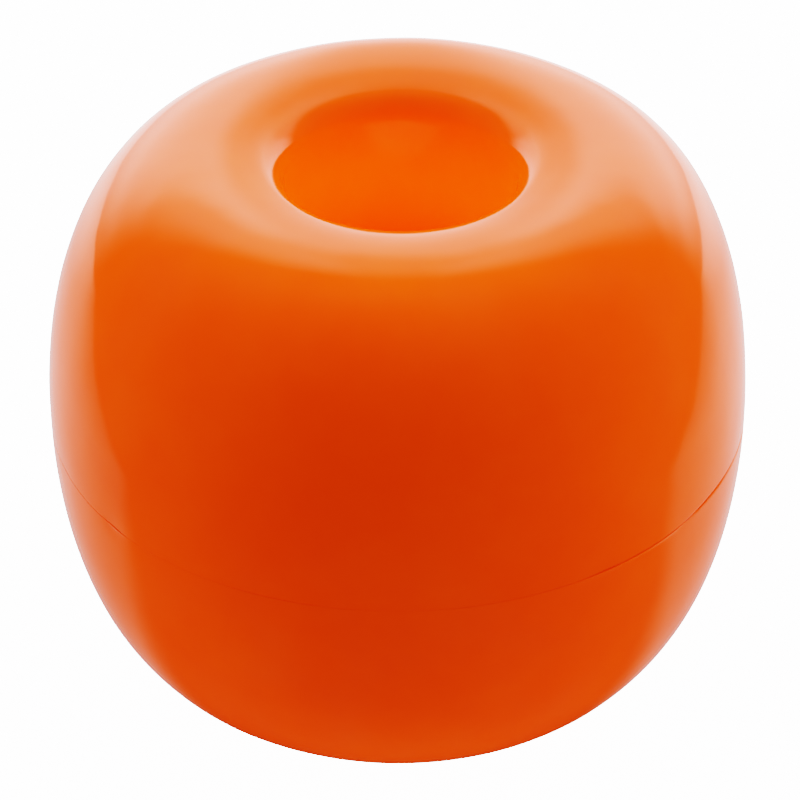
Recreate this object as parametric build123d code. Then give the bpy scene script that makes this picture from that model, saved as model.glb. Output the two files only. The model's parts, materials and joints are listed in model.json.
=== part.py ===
from build123d import *
from math import asin, cos, hypot, pi, radians, sin
import os

# A hollow moulded float for a rope: two half shells closed along the equator around a sealed
# air space. Each shell carries its own half of the bore tube, so the two meet on two rings:
# one in the outer wall and one in the tube wall. The bore runs along Z and the shells meet at Z = 0.
# Everything is in millimetres.

# Body
OUTER_DIAMETER = 80.0
HEIGHT = 65.0
WALL = 2.5

# The barrel outline, from the equator (radius OUTER_DIAMETER / 2) up to the crest ring:
# (radial reach / full reach) ^ FLANK_POWER + (height / full height) ^ CROWN_POWER = 1
FLANK_POWER = 2.4
CROWN_POWER = 2.1
OUTLINE_STEPS = 18

# Bore: a straight tube that rolls over a tight lip at both mouths. From the lip a shallow flare
# rises to the crest ring; it leaves the crest level and meets the lip at FLARE_ANGLE degrees.
BORE_DIAMETER = 26.0
LIP_RADIUS = 3.2
FLARE_RADIUS = 23.0
FLARE_ANGLE = 17.0

# Joint: a tongue on the lower shell stands in a rebate of the upper shell, on both rings
TONGUE_THICKNESS = 1.1
TONGUE_HEIGHT = 1.5
TONGUE_SIDE_CLEARANCE = 0.05
TONGUE_TIP_CLEARANCE = 0.2
SEAM_BEVEL = 0.2

# Derived places
OUTER_RADIUS = OUTER_DIAMETER / 2
HALF_HEIGHT = HEIGHT / 2
BORE_RADIUS = BORE_DIAMETER / 2
FLARE_TURN = radians(FLARE_ANGLE)
LIP_CENTRE_RADIUS = BORE_RADIUS + LIP_RADIUS
CREST_RADIUS = LIP_CENTRE_RADIUS + (FLARE_RADIUS - LIP_RADIUS) * sin(FLARE_TURN)
FLARE_CENTRE_HEIGHT = HALF_HEIGHT - FLARE_RADIUS
LIP_CENTRE_HEIGHT = FLARE_CENTRE_HEIGHT + (FLARE_RADIUS - LIP_RADIUS) * cos(FLARE_TURN)
FLANK_REACH = OUTER_RADIUS - CREST_RADIUS
CAVITY_RADIUS = OUTER_RADIUS - WALL
TUBE_OUTER_RADIUS = BORE_RADIUS + WALL


def section_point(radius, height):
    """A place in the XZ plane, which the revolve turns about Z."""
    return Vector(radius, 0, height)


def outline_normal(turn):
    """Unit normal (radial, axial) of the barrel outline at a turn of 0 (equator) to pi / 2 (crest)."""
    reach = cos(turn) ** (2 / FLANK_POWER)
    rise = sin(turn) ** (2 / CROWN_POWER)
    radial = FLANK_POWER * reach ** (FLANK_POWER - 1) / FLANK_REACH
    axial = CROWN_POWER * rise ** (CROWN_POWER - 1) / HALF_HEIGHT
    length = hypot(radial, axial)
    return radial / length, axial / length


def outline_place(turn, inset):
    """A point of the barrel outline, moved into the wall along the normal by inset."""
    radial, axial = outline_normal(turn)
    radius = CREST_RADIUS + FLANK_REACH * cos(turn) ** (2 / FLANK_POWER) - inset * radial
    height = HALF_HEIGHT * sin(turn) ** (2 / CROWN_POWER) - inset * axial
    return section_point(radius, height)


def barrel_curve(first_turn, inset):
    """The outline as one smooth curve, from first_turn to the crest, set in by inset."""
    turns = [first_turn + (pi / 2 - first_turn) * step / OUTLINE_STEPS for step in range(OUTLINE_STEPS)]
    points = [outline_place(turn, inset) for turn in turns]
    points.append(section_point(CREST_RADIUS, HALF_HEIGHT - inset))
    radial, axial = outline_normal(first_turn)
    leaving = section_point(-axial, radial)
    arriving = section_point(-1, 0)
    return Spline(*points, tangents=(leaving, arriving))


def arc(centre, radius, first_turn, last_turn):
    """A circular arc that turns from straight up (0) towards the bore (pi / 2)."""
    turns = (first_turn, (first_turn + last_turn) / 2, last_turn)
    return ThreePointArc(*[centre + radius * section_point(-sin(turn), cos(turn)) for turn in turns])


def mouth_arcs(inset):
    """The flare from the crest and the lip down to the bore, set into the wall by inset."""
    flare_centre = section_point(CREST_RADIUS, FLARE_CENTRE_HEIGHT)
    lip_centre = section_point(LIP_CENTRE_RADIUS, LIP_CENTRE_HEIGHT)
    flare = arc(flare_centre, FLARE_RADIUS - inset, 0, FLARE_TURN)
    lip = arc(lip_centre, LIP_RADIUS - inset, FLARE_TURN, pi / 2)
    return flare, lip


def half_shell():
    """The upper half of the float with a flat joint face at Z = 0, bevelled where the seam shows."""
    seam_turn = asin((SEAM_BEVEL / HALF_HEIGHT) ** (CROWN_POWER / 2))
    outside = barrel_curve(seam_turn, 0)
    flare, lip = mouth_arcs(0)
    cavity = barrel_curve(0, WALL)
    cavity_flare, cavity_lip = mouth_arcs(WALL)
    boundary = [
        Line(section_point(OUTER_RADIUS - SEAM_BEVEL, 0), outside @ 0),
        outside,
        flare,
        lip,
        Line(lip @ 1, section_point(BORE_RADIUS, SEAM_BEVEL)),
        Line(section_point(BORE_RADIUS, SEAM_BEVEL), section_point(BORE_RADIUS + SEAM_BEVEL, 0)),
        Line(section_point(BORE_RADIUS + SEAM_BEVEL, 0), section_point(TUBE_OUTER_RADIUS, 0)),
        Line(section_point(TUBE_OUTER_RADIUS, 0), cavity_lip @ 1),
        cavity_lip,
        cavity_flare,
        cavity,
        Line(cavity @ 0, section_point(OUTER_RADIUS - SEAM_BEVEL, 0)),
    ]
    return revolve(make_face(Wire(boundary)), Axis.Z)


def ring(inner_radius, outer_radius, bottom, top):
    """A plain ring about Z."""
    body = Cylinder(outer_radius, top - bottom) - Cylinder(inner_radius, top - bottom)
    return Pos(0, 0, (bottom + top) / 2) * body


def tongues():
    """The two rings that stand up from the lower shell, each on the cavity side of its wall."""
    outer_tongue = ring(CAVITY_RADIUS, CAVITY_RADIUS + TONGUE_THICKNESS, -TONGUE_HEIGHT, TONGUE_HEIGHT)
    tube_tongue = ring(TUBE_OUTER_RADIUS - TONGUE_THICKNESS, TUBE_OUTER_RADIUS, -TONGUE_HEIGHT, TONGUE_HEIGHT)
    return outer_tongue, tube_tongue


def rebates():
    """The room that the upper shell leaves for the tongues, open to the cavity."""
    depth = TONGUE_HEIGHT + TONGUE_TIP_CLEARANCE
    width = TONGUE_THICKNESS + TONGUE_SIDE_CLEARANCE
    outer_rebate = ring(CAVITY_RADIUS - WALL, CAVITY_RADIUS + width, -depth, depth)
    tube_rebate = ring(TUBE_OUTER_RADIUS - width, TUBE_OUTER_RADIUS + WALL, -depth, depth)
    return outer_rebate, tube_rebate


def upper_shell():
    shell = half_shell()
    for rebate in rebates():
        shell = shell - rebate
    return shell


def lower_shell():
    shell = mirror(half_shell(), about=Plane.XY)
    for tongue in tongues():
        shell = shell + tongue
    return shell


os.makedirs("parts", exist_ok=True)
export_step(upper_shell(), "parts/upper_shell.step")
export_step(lower_shell(), "parts/lower_shell.step")
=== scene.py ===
import json
from math import asin, cos, exp, hypot, pi, radians, sin

import bpy
import numpy as np
from mathutils import Euler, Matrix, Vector, noise


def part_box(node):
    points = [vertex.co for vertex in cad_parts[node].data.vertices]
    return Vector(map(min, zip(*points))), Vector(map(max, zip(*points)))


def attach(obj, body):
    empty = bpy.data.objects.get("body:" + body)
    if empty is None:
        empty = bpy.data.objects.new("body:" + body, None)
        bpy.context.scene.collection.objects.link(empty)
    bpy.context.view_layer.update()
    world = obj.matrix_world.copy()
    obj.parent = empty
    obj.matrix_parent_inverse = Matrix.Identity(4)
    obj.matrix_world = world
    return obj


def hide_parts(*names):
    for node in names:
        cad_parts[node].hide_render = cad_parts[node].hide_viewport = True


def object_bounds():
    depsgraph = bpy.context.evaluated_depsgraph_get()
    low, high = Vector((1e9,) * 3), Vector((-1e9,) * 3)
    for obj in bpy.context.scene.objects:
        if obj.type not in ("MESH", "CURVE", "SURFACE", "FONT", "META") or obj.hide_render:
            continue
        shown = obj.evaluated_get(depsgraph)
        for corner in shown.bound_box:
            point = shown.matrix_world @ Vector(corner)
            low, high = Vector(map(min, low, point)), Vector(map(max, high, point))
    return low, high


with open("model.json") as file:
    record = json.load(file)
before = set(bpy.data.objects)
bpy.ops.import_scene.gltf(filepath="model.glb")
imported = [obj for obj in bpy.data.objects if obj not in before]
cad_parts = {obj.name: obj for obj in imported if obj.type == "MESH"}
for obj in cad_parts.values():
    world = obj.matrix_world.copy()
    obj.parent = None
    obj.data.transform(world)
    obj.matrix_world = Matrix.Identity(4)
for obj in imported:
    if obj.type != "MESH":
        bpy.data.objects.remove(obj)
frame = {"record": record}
CAD_LOW, CAD_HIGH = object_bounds()

# A glossy hollow rope float: two moulded half shells closed along the equator, around a bore
# with rolled mouths. Lengths are in metres. MM turns a size in millimetres into metres.
MM = 0.001

# ---- Measures read from the frame ----
UPPER_LOW, UPPER_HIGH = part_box("upper_shell")
LOWER_LOW, LOWER_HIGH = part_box("lower_shell")
RECORD = frame["record"]
BORE_RADIUS = RECORD["mounts"][0]["dims"]["r_mm"] * MM
OUTER_RADIUS = (UPPER_HIGH.x - UPPER_LOW.x) / 2
HALF_HEIGHT = UPPER_HIGH.z
TONGUE_TOP = LOWER_HIGH.z

# ---- Sizes that the frame doesn't give ----
WALL = 2.5 * MM
LIP_RADIUS = 3.2 * MM
FLARE_RADIUS = 23.0 * MM
FLARE_TURN = radians(17)
TONGUE_THICKNESS = 1.1 * MM
TONGUE_SIDE_CLEARANCE = 0.05 * MM
TONGUE_TIP_CLEARANCE = 0.2 * MM
SEAM_ROUND = 0.015 * MM
FLANK_POWER = 2.4
CROWN_POWER = 2.1

# The mouth: a shallow flare leaves the crest ring level and meets the tight lip. (radius, height)
CREST_RADIUS = BORE_RADIUS + LIP_RADIUS + (FLARE_RADIUS - LIP_RADIUS) * sin(FLARE_TURN)
FLARE_CENTRE = (CREST_RADIUS, HALF_HEIGHT - FLARE_RADIUS)
LIP_CENTRE = (BORE_RADIUS + LIP_RADIUS, FLARE_CENTRE[1] + (FLARE_RADIUS - LIP_RADIUS) * cos(FLARE_TURN))
FLANK_REACH = OUTER_RADIUS - CREST_RADIUS

# ---- Mesh density ----
AROUND = 448
OUTLINE_SAMPLES = 3000
MOUTH_SAMPLES = 400
EDGE_SAMPLES = 40
CAVITY_OUTLINE_SAMPLES = 400
CAVITY_MOUTH_SAMPLES = 60
FINE_STEP = 0.035 * MM
STEP_GROWTH = 0.16
OUTER_STEP = 0.5 * MM
BORE_STEP = 1.2 * MM
BORE_PART = 0.85
CAVITY_STEP = 3.0 * MM
SHARP_ANGLE = radians(55)


# =============================== profile of a half shell ===============================

def outline_point(turn, inset):
    """Radius and height on the barrel outline, turn 0 at the equator and pi / 2 at the crest."""
    reach = cos(turn) ** (2 / FLANK_POWER) if turn < pi / 2 else 0.0
    lift = sin(turn) ** (2 / CROWN_POWER)
    radial = FLANK_POWER * reach ** (FLANK_POWER - 1) / FLANK_REACH
    axial = CROWN_POWER * lift ** (CROWN_POWER - 1) / HALF_HEIGHT
    length = hypot(radial, axial)
    radius = CREST_RADIUS + FLANK_REACH * reach - inset * radial / length
    height = HALF_HEIGHT * lift - inset * axial / length
    return radius, height


def arc(centre, radius, start, end, steps):
    """Points of a circular arc in the profile plane, angles in radians from the outward direction."""
    angles = [start + (end - start) * step / steps for step in range(steps + 1)]
    return [(centre[0] + radius * cos(angle), centre[1] + radius * sin(angle)) for angle in angles]


def line(start, end, steps):
    """Points of a straight line in the profile plane, without its start."""
    parts = [step / steps for step in range(1, steps + 1)]
    return [(start[0] + (end[0] - start[0]) * part, start[1] + (end[1] - start[1]) * part) for part in parts]


def mouth_arcs(inset, steps):
    """The flare and the lip, set in by inset, from the crest to the bore."""
    flare = arc(FLARE_CENTRE, FLARE_RADIUS - inset, pi / 2, pi / 2 + FLARE_TURN, steps)
    lip = arc(LIP_CENTRE, LIP_RADIUS - inset, pi / 2 + FLARE_TURN, pi, steps)
    return flare + lip


def visible_profile():
    """The skin that shows, from the seam round to it: edge, barrel outline, mouth, bore and edge."""
    first_turn = asin((SEAM_ROUND / HALF_HEIGHT) ** (CROWN_POWER / 2))
    turns = np.linspace(first_turn, pi / 2, OUTLINE_SAMPLES)
    outline = [outline_point(turn, 0.0) for turn in turns]
    outer_edge = arc((OUTER_RADIUS - SEAM_ROUND, SEAM_ROUND), SEAM_ROUND, -pi / 2, 0, EDGE_SAMPLES)
    bore_edge = arc((BORE_RADIUS + SEAM_ROUND, SEAM_ROUND), SEAM_ROUND, pi, 3 * pi / 2, EDGE_SAMPLES)
    return outer_edge + outline + mouth_arcs(0.0, MOUTH_SAMPLES) + bore_edge


def resample(points, step_at):
    """Walks along a polyline and leaves a point every step_at(travelled, length)."""
    path = np.array(points)
    travelled = np.concatenate([[0], np.cumsum(np.hypot(*np.diff(path, axis=0).T))])
    length = travelled[-1]
    stations = [0.0]
    while stations[-1] < length:
        stations.append(stations[-1] + step_at(stations[-1], length))
    stations = np.array(stations) * (length / stations[-1])
    radii = np.interp(stations, travelled, path[:, 0])
    heights = np.interp(stations, travelled, path[:, 1])
    return list(zip(radii, heights))


def visible_step(travelled, length):
    """Fine at both seam edges, even over the outside and the mouth, coarser down the bore."""
    in_bore = length - travelled < HALF_HEIGHT * BORE_PART
    widest = BORE_STEP if in_bore else OUTER_STEP
    from_edge = min(travelled, length - travelled)
    return min(widest, FINE_STEP + STEP_GROWTH * from_edge)


def cavity_step(travelled, length):
    """Even and coarse, because the inside doesn't show."""
    return CAVITY_STEP


def cavity_profile(start):
    """The inside, from the outer wall at the height start over to the tube at the same height."""
    first_turn = asin((start / HALF_HEIGHT) ** (CROWN_POWER / 2))
    turns = np.linspace(first_turn, pi / 2, CAVITY_OUTLINE_SAMPLES)
    outline = [outline_point(turn, WALL) for turn in turns]
    tube = [(BORE_RADIUS + WALL, start)]
    return resample(outline + mouth_arcs(WALL, CAVITY_MOUTH_SAMPLES) + tube, cavity_step)


def joint_steps(tongue, outward):
    """The joint face from the skin to the cavity, on the outer wall (outward 1) or the tube (outward -1).

    tongue is true on the shell whose tongue crosses the joint plane; heights are measured into the
    shell, so a tongue has negative heights.
    """
    skin = OUTER_RADIUS if outward > 0 else BORE_RADIUS
    cavity = skin - outward * WALL
    clearance = 0.0 if tongue else TONGUE_SIDE_CLEARANCE
    shoulder = cavity + outward * (TONGUE_THICKNESS + clearance)
    reach = -TONGUE_TOP if tongue else TONGUE_TOP + TONGUE_TIP_CLEARANCE
    land = skin - outward * SEAM_ROUND
    flat = line((land, 0.0), (shoulder, 0.0), 3)
    flank = line((shoulder, 0.0), (shoulder, reach), 3)
    tip = line((shoulder, reach), (cavity, reach), 2)
    return flat + flank + tip


def shell_profile(tongue):
    """The rings (radius, height) of one half shell, as the skin that shows and the faces that don't."""
    skin = resample(visible_profile(), visible_step)
    start = 0.0 if tongue else TONGUE_TOP + TONGUE_TIP_CLEARANCE
    cavity = cavity_profile(start)
    hidden = joint_steps(tongue, -1) + cavity[::-1] + joint_steps(tongue, 1)[::-1]
    return skin, hidden


# =============================== surface relief ===============================

# The moulding isn't perfect: the walls drew in a little as they cooled. (wavelength, height)
WAVES = (
    (34.0 * MM, 0.080 * MM),
    (15.0 * MM, 0.045 * MM),
    (7.0 * MM, 0.027 * MM),
    (3.2 * MM, 0.011 * MM),
)
WAVE_SEED = 11.3
BORE_RELIEF = 0.45  # the share of the relief that the bore wall has
UPPER_LEAN = 0.5 * MM  # how far the upper mouth leans to the right

# The skin sinks a little towards the joint, and one shell stands a hair above the other. A change
# along the joint is (wavelength, seed, mean, swing) of the noise that multiplies a size.
SEAM_SINK = 0.012 * MM
SEAM_SINK_WIDTH = 1.6 * MM
SEAM_SINK_CHANGE = (9 * MM, 71.0, 0.75, 0.5)
SEAM_STEP = 0.012 * MM
SEAM_STEP_WIDTH = 3 * MM
SEAM_STEP_CHANGE = (32 * MM, 93.0, 0.0, 1.0)

# The joint line closes up over most of the front. It opens to a groove towards the right and round
# the back, and between the two the lower shell stands proud and its edge catches the light.
GROOVE_DEPTH = 0.13 * MM
GROOVE_WIDTH = 0.19 * MM
GROOVE_CHANGE = (6 * MM, 37.0, 0.8, 0.4)
GROOVE_LEAST = 0.02
GROOVE_OPENS = (radians(49), radians(58))
GROOVE_OPENS_LEFT = (radians(-95), radians(-120))
LEDGE_HEIGHT = 0.13 * MM
LEDGE_WIDTH = 0.28 * MM
LEDGE_CHANGE = (3 * MM, 53.0, 0.7, 0.6)
LEDGE_SPAN = (radians(24), radians(36), radians(47), radians(53))

# A nick in the joint line, where the flash was trimmed too deep, and the burr it left on the lower shell
NICK_AZIMUTH = radians(-51.5)
NICK_LENGTH = 1.6 * MM
NICK_WIDTH = 1.3 * MM
NICK_DEPTH = 0.11 * MM
BURR_HEIGHT = 0.08 * MM
BURR_LENGTH = 0.6 * NICK_LENGTH
BURR_WIDTH = 0.16 * MM
BURR_ALONG = 0.4 * NICK_LENGTH
BURR_BELOW = 0.1 * MM


def bump(distance, width):
    """A smooth hump, 1 at distance 0."""
    return exp(-((distance / width) ** 2))


def rise(value, low, high):
    """Smooth step from 0 at low to 1 at high; low may be above high."""
    part = min(max((value - low) / (high - low), 0.0), 1.0)
    return part * part * (3 - 2 * part)


def wander(place, wavelength, seed):
    """Smooth noise between about -1 and 1 that has no seam anywhere."""
    return noise.noise(place / wavelength + Vector((seed, seed * 1.7, seed * 0.6)))


def change(place, wavelength, seed, mean, swing):
    """A noise factor around mean."""
    return mean + swing * wander(place, wavelength, seed)


def joint_relief(place, from_joint, azimuth, side):
    """The joint line: the sunk skin, the step between the shells, the groove and the proud edge."""
    out = -SEAM_SINK * change(place, *SEAM_SINK_CHANGE) * bump(from_joint, SEAM_SINK_WIDTH)
    out += side * SEAM_STEP * change(place, *SEAM_STEP_CHANGE) * bump(from_joint, SEAM_STEP_WIDTH)
    opening = rise(azimuth, *GROOVE_OPENS) + rise(azimuth, *GROOVE_OPENS_LEFT)
    opening = GROOVE_LEAST + opening * change(place, *GROOVE_CHANGE)
    out -= GROOVE_DEPTH * opening * bump(from_joint, GROOVE_WIDTH)
    if side < 0:
        begin_low, begin_high, end_low, end_high = LEDGE_SPAN
        ledge = rise(azimuth, begin_low, begin_high) * rise(azimuth, end_high, end_low)
        out += LEDGE_HEIGHT * ledge * change(place, *LEDGE_CHANGE) * bump(from_joint, LEDGE_WIDTH)
    return out


def nick_relief(from_joint, azimuth, side):
    """The nick, on both shells, and its burr."""
    along = (azimuth - NICK_AZIMUTH) * OUTER_RADIUS
    out = -NICK_DEPTH * bump(along, NICK_LENGTH) * bump(from_joint, NICK_WIDTH)
    if side < 0:
        burr = bump(along - BURR_ALONG, BURR_LENGTH) * bump(from_joint - BURR_BELOW, BURR_WIDTH)
        out += BURR_HEIGHT * burr
    return out


def relief(place, height, azimuth, side):
    """How far the skin stands out from the drawn shape at a place. side is 1 above the joint, -1 below."""
    out = 0.0
    for index, (wavelength, amplitude) in enumerate(WAVES):
        out += amplitude * wander(place, wavelength, WAVE_SEED * (index + 1))
    from_joint = abs(height)
    return out + joint_relief(place, from_joint, azimuth, side) + nick_relief(from_joint, azimuth, side)


# =============================== meshes ===============================

def ring_normals(rings):
    """Outward unit normals of the profile, from its neighbours."""
    path = np.array(rings)
    along = np.gradient(path, axis=0)
    length = np.hypot(along[:, 0], along[:, 1])
    return np.stack([along[:, 1] / length, -along[:, 0] / length], axis=1)


def around_the_axis():
    """The azimuths of a ring's points, 0 at the front and growing to the right, with their directions."""
    azimuths = [2 * pi * step / AROUND - pi for step in range(AROUND)]
    return [(azimuth, Vector((sin(azimuth), -cos(azimuth), 0))) for azimuth in azimuths]


def skin_points(skin, side):
    """The points of the skin that shows, ring by ring, with the relief on it."""
    points = []
    for (radius, height), (radial, axial) in zip(skin, ring_normals(skin)):
        in_bore = radius < LIP_CENTRE[0] and height < LIP_CENTRE[1]
        fade = BORE_RELIEF if in_bore else 1.0
        lean = UPPER_LEAN * (height / HALF_HEIGHT) ** 2 if side > 0 else 0.0
        for azimuth, across in around_the_axis():
            place = across * radius + Vector((0, 0, side * height))
            out = fade * relief(place, height, azimuth, side)
            points.append(place + across * (radial * out) + Vector((lean, 0, side * axial * out)))
    return points


def hidden_points(rings, side):
    """The points of the faces inside, ring by ring, exactly as drawn."""
    ring = around_the_axis()
    return [across * radius + Vector((0, 0, side * height)) for radius, height in rings for _, across in ring]


def ring_faces(rings, side):
    """The faces between rings, from the last one back to the first, all facing outwards."""
    faces = []
    for ring in range(rings):
        following = (ring + 1) % rings
        for step in range(AROUND):
            beside = (step + 1) % AROUND
            face = (
                ring * AROUND + step,
                ring * AROUND + beside,
                following * AROUND + beside,
                following * AROUND + step,
            )
            faces.append(face if side > 0 else face[::-1])
    return faces


def mesh_object(name, points, faces):
    """A mesh object with smooth faces, in the scene."""
    mesh = bpy.data.meshes.new(name)
    mesh.from_pydata([tuple(point) for point in points], [], faces)
    mesh.polygons.foreach_set("use_smooth", [True] * len(faces))
    mesh.update()
    made = bpy.data.objects.new(name, mesh)
    bpy.context.scene.collection.objects.link(made)
    return made


def build_shell(name, side):
    """One half shell as a closed mesh: side 1 is the upper shell, -1 the lower one with the tongues."""
    skin, hidden = shell_profile(tongue=side < 0)
    points = skin_points(skin, side) + hidden_points(hidden, side)
    piece = mesh_object(name, points, ring_faces(len(skin) + len(hidden), side))
    piece.data.set_sharp_from_angle(angle=SHARP_ANGLE)
    piece.data.update()
    return piece


# =============================== node helpers ===============================

def connect(tree, source, target):
    tree.links.new(source, target)


def math_node(tree, operation, first, second=None):
    """A Math node on sockets or plain numbers; returns its output socket."""
    node = tree.nodes.new("ShaderNodeMath")
    node.operation = operation
    for slot, value in enumerate((first, second)):
        if value is None:
            continue
        if isinstance(value, (int, float)):
            node.inputs[slot].default_value = value
        else:
            connect(tree, value, node.inputs[slot])
    return node.outputs[0]


def ramp_node(tree, value, low, high, low_out=0.0, high_out=1.0):
    """Smooth step of a socket from low to high."""
    node = tree.nodes.new("ShaderNodeMapRange")
    node.interpolation_type = "SMOOTHSTEP"
    connect(tree, value, node.inputs["Value"])
    node.inputs["From Min"].default_value = low
    node.inputs["From Max"].default_value = high
    node.inputs["To Min"].default_value = low_out
    node.inputs["To Max"].default_value = high_out
    return node.outputs["Result"]


def total(tree, values):
    """Adds sockets together."""
    result = values[0]
    for value in values[1:]:
        result = math_node(tree, "ADD", result, value)
    return result


def product(tree, values):
    """Multiplies sockets together."""
    result = values[0]
    for value in values[1:]:
        result = math_node(tree, "MULTIPLY", result, value)
    return result


def squared_side(tree, value, strength):
    """strength * max(value, 0) ** 2"""
    side = math_node(tree, "MAXIMUM", value, 0.0)
    return product(tree, [side, side, strength])


def object_place(tree):
    """The x, y and z sockets of a place in the object's own metres."""
    split = tree.nodes.new("ShaderNodeSeparateXYZ")
    connect(tree, tree.nodes.new("ShaderNodeTexCoord").outputs["Object"], split.inputs[0])
    return split.outputs


def noise_node(tree, vector, wavelength, detail, roughness=0.5):
    """Noise in the object's own metres."""
    node = tree.nodes.new("ShaderNodeTexNoise")
    node.inputs["Scale"].default_value = 1 / wavelength
    node.inputs["Detail"].default_value = detail
    node.inputs["Roughness"].default_value = roughness
    connect(tree, vector, node.inputs["Vector"])
    return node.outputs["Fac"]


# =============================== material ===============================

ORANGE_DEEP = (0.83, 0.071, 0.0009, 1)
ORANGE = (0.86, 0.077, 0.0012, 1)
ORANGE_LIGHT = (0.88, 0.084, 0.0017, 1)
PIGMENT_STOPS = (0.3, 0.5, 0.7)
CLOUD_SIZE = 22 * MM
FLOW_SIZE = 4 * MM
CLOUD_SHARE = 0.7
POLISH_SIZE = 9 * MM
POLISH_EDGES = (0.3, 0.7)
ROUGHNESS = (0.065, 0.105)
PEEL_SIZE = 1.3 * MM
PEEL_HEIGHT = 0.006 * MM
PEEL_STRENGTH = 0.35
PLASTIC_IOR = 1.5


def orange_plastic(name):
    """Glossy pigmented plastic: slow pigment clouds, an uneven polish and a faint orange peel."""
    material = bpy.data.materials.new(name)
    material.use_nodes = True
    tree = material.node_tree
    shader = tree.nodes["Principled BSDF"]
    place = tree.nodes.new("ShaderNodeTexCoord").outputs["Object"]

    clouds = math_node(tree, "MULTIPLY", noise_node(tree, place, CLOUD_SIZE, detail=3), CLOUD_SHARE)
    flow = math_node(tree, "MULTIPLY", noise_node(tree, place, FLOW_SIZE, 4, 0.6), 1 - CLOUD_SHARE)
    colour = tree.nodes.new("ShaderNodeValToRGB")
    deep_stop, middle_stop, light_stop = PIGMENT_STOPS
    deep, light = colour.color_ramp.elements
    deep.position, deep.color = deep_stop, ORANGE_DEEP
    light.position, light.color = light_stop, ORANGE_LIGHT
    colour.color_ramp.elements.new(middle_stop).color = ORANGE
    connect(tree, total(tree, [clouds, flow]), colour.inputs["Fac"])
    connect(tree, colour.outputs["Color"], shader.inputs["Base Color"])

    polish = noise_node(tree, place, POLISH_SIZE, detail=5, roughness=0.65)
    connect(tree, ramp_node(tree, polish, *POLISH_EDGES, *ROUGHNESS), shader.inputs["Roughness"])

    peel = tree.nodes.new("ShaderNodeBump")
    peel.inputs["Strength"].default_value = PEEL_STRENGTH
    peel.inputs["Distance"].default_value = PEEL_HEIGHT
    connect(tree, noise_node(tree, place, PEEL_SIZE, 3, 0.55), peel.inputs["Height"])
    connect(tree, peel.outputs["Normal"], shader.inputs["Normal"])

    shader.inputs["IOR"].default_value = PLASTIC_IOR
    return material


# =============================== stage ===============================

SWEEP_FLAT = 1.2
SWEEP_RISE = 2.2
SWEEP_CORNER = 0.9
SWEEP_CORNER_STEPS = 16
SWEEP_WALL_STEPS = 4
SWEEP_FLOOR_RINGS = (0.02, 0.08, 0.2, 0.5, 0.9)
SWEEP_AROUND = 96
SWEEP_PAINT = (0.86, 0.86, 0.86, 1)
SWEEP_ROUGHNESS = 0.9
SWEEP_GLOW = 8.0
FLOOR_HEIGHT = LOWER_LOW.z - 0.05 * MM  # clear of the slight waviness underneath


def sweep_outline():
    """(radius, height) of the sweep from near the middle outwards: floor, rounded corner, wall."""
    angles = np.linspace(0, pi / 2, SWEEP_CORNER_STEPS)
    corner = [(SWEEP_FLAT + SWEEP_CORNER * sin(a), SWEEP_CORNER * (1 - cos(a))) for a in angles]
    wall_height = [SWEEP_CORNER + SWEEP_RISE * k / SWEEP_WALL_STEPS for k in range(1, SWEEP_WALL_STEPS + 1)]
    wall = [(SWEEP_FLAT + SWEEP_CORNER, height) for height in wall_height]
    return [(radius, 0.0) for radius in SWEEP_FLOOR_RINGS] + corner + wall


def studio_sweep():
    """A pale floor that curves up into a wall all round, with an even glow from below like a light table."""
    outline = sweep_outline()
    points = [(0.0, 0.0, FLOOR_HEIGHT)]
    for radius, height in outline:
        for step in range(SWEEP_AROUND):
            angle = 2 * pi * step / SWEEP_AROUND
            points.append((radius * cos(angle), radius * sin(angle), FLOOR_HEIGHT + height))
    faces = [(0, 1 + step, 1 + (step + 1) % SWEEP_AROUND) for step in range(SWEEP_AROUND)]
    for ring in range(len(outline) - 1):
        first = 1 + ring * SWEEP_AROUND
        second = first + SWEEP_AROUND
        for step in range(SWEEP_AROUND):
            beside = (step + 1) % SWEEP_AROUND
            faces.append((first + step, second + step, second + beside, first + beside))
    sweep = mesh_object("studio_sweep", points, faces)
    material = bpy.data.materials.new("pale_sweep")
    material.use_nodes = True
    shader = material.node_tree.nodes["Principled BSDF"]
    shader.inputs["Base Color"].default_value = SWEEP_PAINT
    shader.inputs["Roughness"].default_value = SWEEP_ROUGHNESS
    shader.inputs["Specular IOR Level"].default_value = 0.0
    shader.inputs["Emission Color"].default_value = (1, 1, 1, 1)
    shader.inputs["Emission Strength"].default_value = SWEEP_GLOW
    sweep.data.materials.append(material)
    sweep.visible_glossy = False
    sweep.visible_diffuse = False
    sweep.visible_shadow = False


# Soft light from a tent, by direction. The numbers are radiances. The gloss sees only FRONT_LIGHT of
# it, and the camera sees only BACKDROP.
FILL_TOP = 1.6
FILL_BELOW = 3.45
FILL_RIGHT = 1.35
FILL_LEFT = 0.95
FILL_REAR = 2.7
FILL_REAR_EDGE = 0.2
FILL_ALL = 0.02
FRONT_LIGHT = 0.025
BACKDROP = 9.0


def exchange(tree, factor, usual, other):
    """The socket usual, or the number other where factor is 1."""
    node = tree.nodes.new("ShaderNodeMix")
    connect(tree, factor, node.inputs["Factor"])
    connect(tree, usual, node.inputs[2])
    node.inputs[3].default_value = other
    return node.outputs[0]


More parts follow.
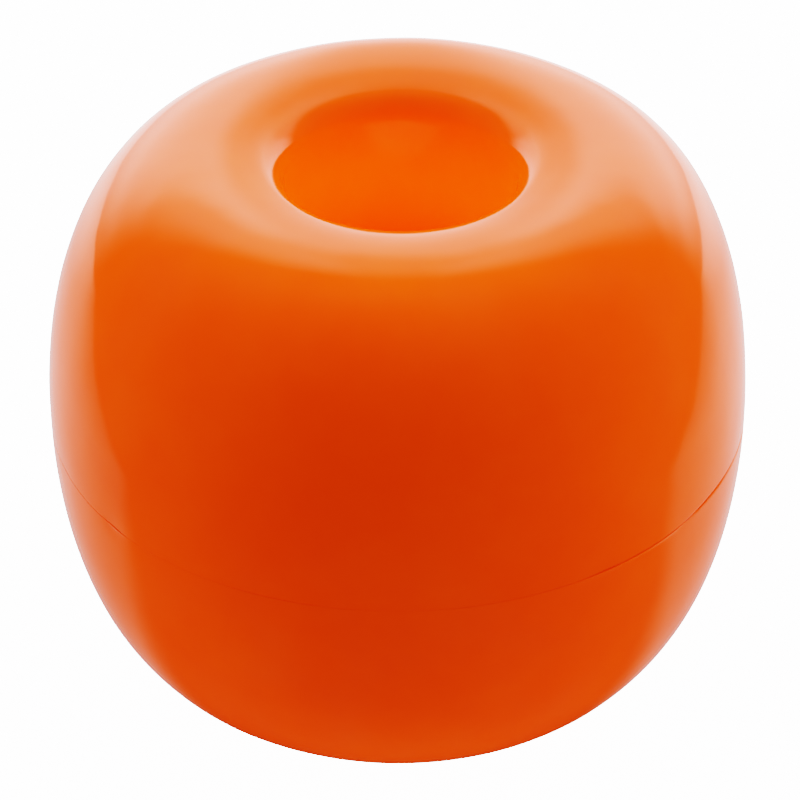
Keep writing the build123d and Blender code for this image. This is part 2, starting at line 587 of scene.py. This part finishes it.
def studio_world():
    """The light tent: an even fill for the body of the colour, and next to nothing for the gloss."""
    world = bpy.data.worlds.new("light_tent")
    bpy.context.scene.world = world
    world.use_nodes = True
    tree = world.node_tree
    tree.nodes.clear()
    direction = tree.nodes.new("ShaderNodeTexCoord").outputs["Generated"]
    split = tree.nodes.new("ShaderNodeSeparateXYZ")
    connect(tree, direction, split.inputs[0])
    x, y, z = split.outputs[0], split.outputs[1], split.outputs[2]
    left = math_node(tree, "MULTIPLY", x, -1.0)
    below = math_node(tree, "MULTIPLY", z, -1.0)

    fill = total(tree, [
        squared_side(tree, z, FILL_TOP),
        squared_side(tree, below, FILL_BELOW),
        squared_side(tree, x, FILL_RIGHT),
        squared_side(tree, left, FILL_LEFT),
        ramp_node(tree, y, -FILL_REAR_EDGE, FILL_REAR_EDGE, FILL_ALL, FILL_ALL + FILL_REAR),
    ])

    rays = tree.nodes.new("ShaderNodeLightPath")
    lit = exchange(tree, rays.outputs["Is Glossy Ray"], fill, FRONT_LIGHT)
    seen = exchange(tree, rays.outputs["Is Camera Ray"], lit, BACKDROP)

    background = tree.nodes.new("ShaderNodeBackground")
    connect(tree, seen, background.inputs["Strength"])
    output = tree.nodes.new("ShaderNodeOutputWorld")
    connect(tree, background.outputs[0], output.inputs[0])


# A soft white card stands close behind the float, and the table is lit behind it. Only gloss shows
# them. The card's light goes by height above the middle of the float: (from, to, light gained).
# A dimmer strip runs up its middle from a little above the float, where two sheets of it meet.
CARD_DISTANCE = 100 * MM
CARD_MIDDLE = 18 * MM
CARD_SIDE = (72 * MM, 232 * MM)
CARD_STRIP = (4 * MM, 23 * MM)
CARD_STRIP_FOOT = (28 * MM, 52 * MM)
CARD_STRIP_LOSS = 0.38
CARD_STEPS = (
    (-32 * MM, 6 * MM, 0.9),
    (8 * MM, 52 * MM, 1.3),
    (92 * MM, 122 * MM, -1.0),
    (136 * MM, 245 * MM, -1.2),
)
TABLE_FRONT = -24 * MM
TABLE_HALF_WIDTH = 105 * MM
TABLE_SLANT = 0.78
TABLE_EDGE = 11 * MM
TABLE_LIGHT = 0.30
TABLE_REAR_LIGHT = 0.50
TABLE_REAR = 75 * MM
TABLE_LEFT_TO_RIGHT = (0.94, 1.12)
TABLE_CHANGE_REACH = 75 * MM
TABLE_REACH = 420 * MM
TABLE_DROP = 0.2 * MM


def light_only(name, corners, location, glow_of):
    """A flat sheet that only gloss sees. glow_of(tree, x, y, z) is its light in its own metres."""
    sheet = mesh_object(name, corners, [(0, 1, 2, 3)])
    sheet.location = location
    material = bpy.data.materials.new(f"{name}_light")
    material.use_nodes = True
    tree = material.node_tree
    tree.nodes.clear()
    emission = tree.nodes.new("ShaderNodeEmission")
    connect(tree, glow_of(tree, *object_place(tree)), emission.inputs["Strength"])
    clear = tree.nodes.new("ShaderNodeBsdfTransparent")
    both = tree.nodes.new("ShaderNodeAddShader")
    connect(tree, emission.outputs[0], both.inputs[0])
    connect(tree, clear.outputs[0], both.inputs[1])
    output = tree.nodes.new("ShaderNodeOutputMaterial")
    connect(tree, both.outputs[0], output.inputs[0])
    sheet.data.materials.append(material)
    sheet.visible_camera = False
    sheet.visible_diffuse = False
    sheet.visible_shadow = False


def card_glow(tree, x, y, z):
    """Light of the card: soft towards both sides, and brightest a little above the float."""
    aside = math_node(tree, "ABSOLUTE", math_node(tree, "SUBTRACT", x, CARD_MIDDLE))
    up = total(tree, [ramp_node(tree, z, low, high, 0.0, gain) for low, high, gain in CARD_STEPS])
    loss = product(tree, [
        ramp_node(tree, math_node(tree, "ABSOLUTE", x), *CARD_STRIP, CARD_STRIP_LOSS, 0.0),
        ramp_node(tree, z, *CARD_STRIP_FOOT),
    ])
    kept = math_node(tree, "SUBTRACT", 1.0, loss)
    return product(tree, [up, kept, ramp_node(tree, aside, *CARD_SIDE, 1.0, 0.0)])


def table_glow(tree, x, y, z):
    """Light of the table: a sharp front edge that runs back on both sides."""
    aside = math_node(tree, "SUBTRACT", math_node(tree, "ABSOLUTE", x), TABLE_HALF_WIDTH)
    slant = math_node(tree, "MULTIPLY", math_node(tree, "MAXIMUM", aside, 0.0), TABLE_SLANT)
    inside = math_node(tree, "SUBTRACT", math_node(tree, "SUBTRACT", y, TABLE_FRONT), slant)
    return product(tree, [
        ramp_node(tree, inside, 0.0, TABLE_EDGE),
        ramp_node(tree, inside, 0.0, TABLE_REAR, TABLE_LIGHT, TABLE_LIGHT + TABLE_REAR_LIGHT),
        ramp_node(tree, x, -TABLE_CHANGE_REACH, TABLE_CHANGE_REACH, *TABLE_LEFT_TO_RIGHT),
    ])


def rear_card():
    """The card behind the float."""
    left, right = CARD_MIDDLE - CARD_SIDE[1], CARD_MIDDLE + CARD_SIDE[1]
    bottom, top = CARD_STEPS[0][0], CARD_STEPS[-1][1]
    corners = [(left, 0, bottom), (right, 0, bottom), (right, 0, top), (left, 0, top)]
    light_only("rear_card", corners, (0, CARD_DISTANCE, 0), card_glow)


def lit_table():
    """The lit part of the table, around and behind the float."""
    half, front, back = TABLE_REACH, TABLE_FRONT, CARD_DISTANCE + TABLE_REACH
    corners = [(-half, front, 0), (half, front, 0), (half, back, 0), (-half, back, 0)]
    light_only("lit_table", corners, (0, 0, LOWER_LOW.z - TABLE_DROP), table_glow)


# A small soft lamp inside the bore stands for the light that comes up through it from the table
BORE_LAMP_POWER = 0.009
BORE_LAMP_HEIGHT = 21 * MM
BORE_LAMP_COLOUR = (0.75, 1.0, 0.4)
BORE_LAMP_SIZE = 4 * MM


def bore_lamp():
    """Lights only the body colour of the bore wall; neither the camera nor the gloss sees the lamp."""
    data = bpy.data.lights.new("bore_lamp", "POINT")
    data.energy = BORE_LAMP_POWER
    data.color = BORE_LAMP_COLOUR
    data.shadow_soft_size = BORE_LAMP_SIZE
    lamp = bpy.data.objects.new("bore_lamp", data)
    lamp.location = (0, 0, BORE_LAMP_HEIGHT)
    lamp.visible_camera = False
    lamp.visible_glossy = False
    bpy.context.scene.collection.objects.link(lamp)


CAMERA_ELEVATION = radians(35.15)
CAMERA_DISTANCE = 0.360
CAMERA_AIM_DROP = 0.95 * MM
CAMERA_LENS = 139.7
CAMERA_ROLL = radians(-0.29)
CAMERA_SHIFT_X = 0.003
CAMERA_SENSOR = 36
CAMERA_NEAR = 0.01
CAMERA_FAR = 20


def photo_camera():
    """Looks down on the float from the front, along +Y."""
    data = bpy.data.cameras.new("camera")
    camera = bpy.data.objects.new("camera", data)
    bpy.context.scene.collection.objects.link(camera)
    data.lens = CAMERA_LENS
    data.sensor_width = CAMERA_SENSOR
    data.shift_x = CAMERA_SHIFT_X
    data.clip_start = CAMERA_NEAR
    data.clip_end = CAMERA_FAR
    middle = (CAD_LOW + CAD_HIGH) / 2
    aim = middle - Vector((0, 0, CAMERA_AIM_DROP))
    back = Vector((0, -cos(CAMERA_ELEVATION), sin(CAMERA_ELEVATION)))
    camera.location = aim + back * CAMERA_DISTANCE
    level = (-back).to_track_quat("-Z", "Y")
    camera.rotation_mode = "QUATERNION"
    camera.rotation_quaternion = level @ Euler((0, 0, CAMERA_ROLL)).to_quaternion()
    bpy.context.scene.camera = camera


def film_look():
    """A contrasty film response, as product pictures have."""
    settings = bpy.context.scene.view_settings
    settings.view_transform = "Filmic"
    settings.look = "Very High Contrast"
    settings.exposure = 0
    settings.gamma = 1


# =============================== making ===============================

photo_camera()
film_look()
studio_world()
studio_sweep()
rear_card()
lit_table()
bore_lamp()

plastic = orange_plastic("orange_plastic")
for node, side in (("upper_shell", 1), ("lower_shell", -1)):
    shell = build_shell(f"{node}_moulding", side)
    shell.data.materials.append(plastic)
    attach(shell, "root")
    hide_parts(node)
